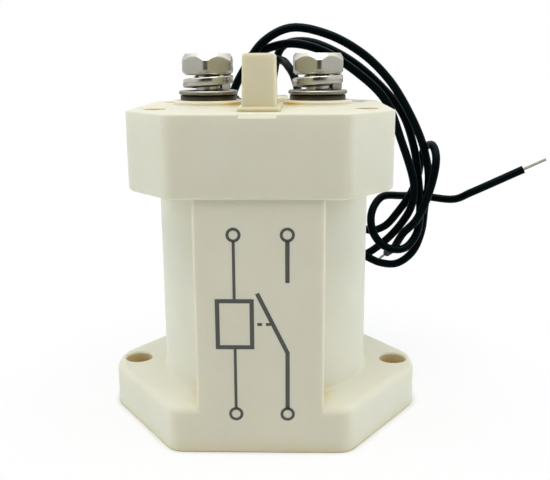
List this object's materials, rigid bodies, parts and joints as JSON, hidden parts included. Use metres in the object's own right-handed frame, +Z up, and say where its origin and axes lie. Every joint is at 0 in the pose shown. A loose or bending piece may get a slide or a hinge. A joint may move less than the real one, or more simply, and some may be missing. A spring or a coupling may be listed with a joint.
{
  "type": "dc contactor",
  "caption": "Sealed electromagnetic power switch: round body on an eared base, eight sided cover with bolted screw terminals and a barrier between them, and flying coil leads.",
  "frame": {"origin": "centre of the base's underside, midway between the two mounting holes", "axes": "+Z up out of the base towards the terminals; the label face looks along -Y; the two terminals and the two mounting holes lie along X"},
  "size_m": [0.0987, 0.0603, 0.0814],
  "materials": {
    "shell_plastic": "satin moulded thermoset, warm grey white",
    "terminal_plate": "dull plated copper",
    "bolt_steel": "bright stainless",
    "ceramic": "unglazed fired ceramic",
    "magnet": "sintered, dark grey",
    "core_iron": "zinc plated soft iron",
    "resin": "cast resin, dark",
    "copper": "bare copper",
    "nylon": "natural nylon",
    "contact_alloy": "silver alloy",
    "spring_steel": "bright drawn stainless",
    "enamelled_wire": "enamelled copper wire",
    "blade_brass": "stamped brass",
    "black_rubber": "black rubber",
    "lead_jacket": "black wire insulation, semi gloss",
    "tinned_wire": "tinned stranded copper"
  },
  "bodies": {
    "case": {"housing": "shell_plastic", "cover": "shell_plastic", "barrier": "shell_plastic", "terminal_left": "terminal_plate", "terminal_right": "terminal_plate", "arc_chamber": "ceramic", "magnet_front": "magnet", "magnet_rear": "magnet", "flux_plate_front": "core_iron", "flux_plate_rear": "core_iron", "seal_resin": "resin", "fill_tube": "copper", "guide_plate": "nylon", "return_spring": "spring_steel", "fixed_core": "core_iron", "core_sleeve": "spring_steel", "bobbin": "nylon", "winding": "enamelled_wire", "yoke_frame": "core_iron", "yoke_plate": "core_iron", "coil_blade_left": "blade_brass", "coil_blade_right": "blade_brass", "grommet_left": "black_rubber", "grommet_right": "black_rubber", "lead_left": "lead_jacket", "lead_right": "lead_jacket", "conductor_left": "tinned_wire", "conductor_right": "tinned_wire"},
    "plunger": {"moving_core": "core_iron", "shaft": "spring_steel", "spring_seat": "core_iron", "retaining_clip": "core_iron", "contact_spring": "spring_steel"},
    "bridge": {"contact_bridge": "copper", "contact_tip_left": "contact_alloy", "contact_tip_right": "contact_alloy"},
    "left_washers": {"split_washer_left": "bolt_steel", "flat_washer_left": "bolt_steel"},
    "left_bolt": {"bolt_left": "bolt_steel"},
    "right_washers": {"split_washer_right": "bolt_steel", "flat_washer_right": "bolt_steel"},
    "right_bolt": {"bolt_right": "bolt_steel"}
  },
  "joints": [
    {"name": "plunger_slide", "type": "slide", "parent": "case", "child": "plunger", "axis": [0, 0, 1], "range_m": [0, 0.0022], "stiffness_N_per_m": 600, "springref_m": -0.004, "deforming": ["return_spring"]},
    {"name": "bridge_overtravel", "type": "slide", "parent": "plunger", "child": "bridge", "axis": [0, 0, 1], "range_m": [-0.0006, 0], "deforming": ["contact_spring"]},
    {"name": "left_bolt_lift", "type": "slide", "parent": "case", "child": "left_washers", "axis": [0, 0, 1], "range_m": [0, 0.003]},
    {"name": "left_bolt_turn", "type": "hinge", "parent": "left_washers", "child": "left_bolt", "pos_m": [-0.01125, 0, 0.07], "axis": [0, 0, 1], "range_deg": [0, 1081]},
    {"name": "right_bolt_lift", "type": "slide", "parent": "case", "child": "right_washers", "axis": [0, 0, 1], "range_m": [0, 0.003]},
    {"name": "right_bolt_turn", "type": "hinge", "parent": "right_washers", "child": "right_bolt", "pos_m": [0.01125, 0, 0.07], "axis": [0, 0, 1], "range_deg": [0, 1081]}
  ],
  "couplings": [
    {"joint": "bridge_overtravel", "follows": "plunger_slide", "ratio": -0.25},
    {"joint": "left_bolt_turn", "follows": "left_bolt_lift", "rad_per_m": 6283.2},
    {"joint": "right_bolt_turn", "follows": "right_bolt_lift", "rad_per_m": 6283.2}
  ]
}
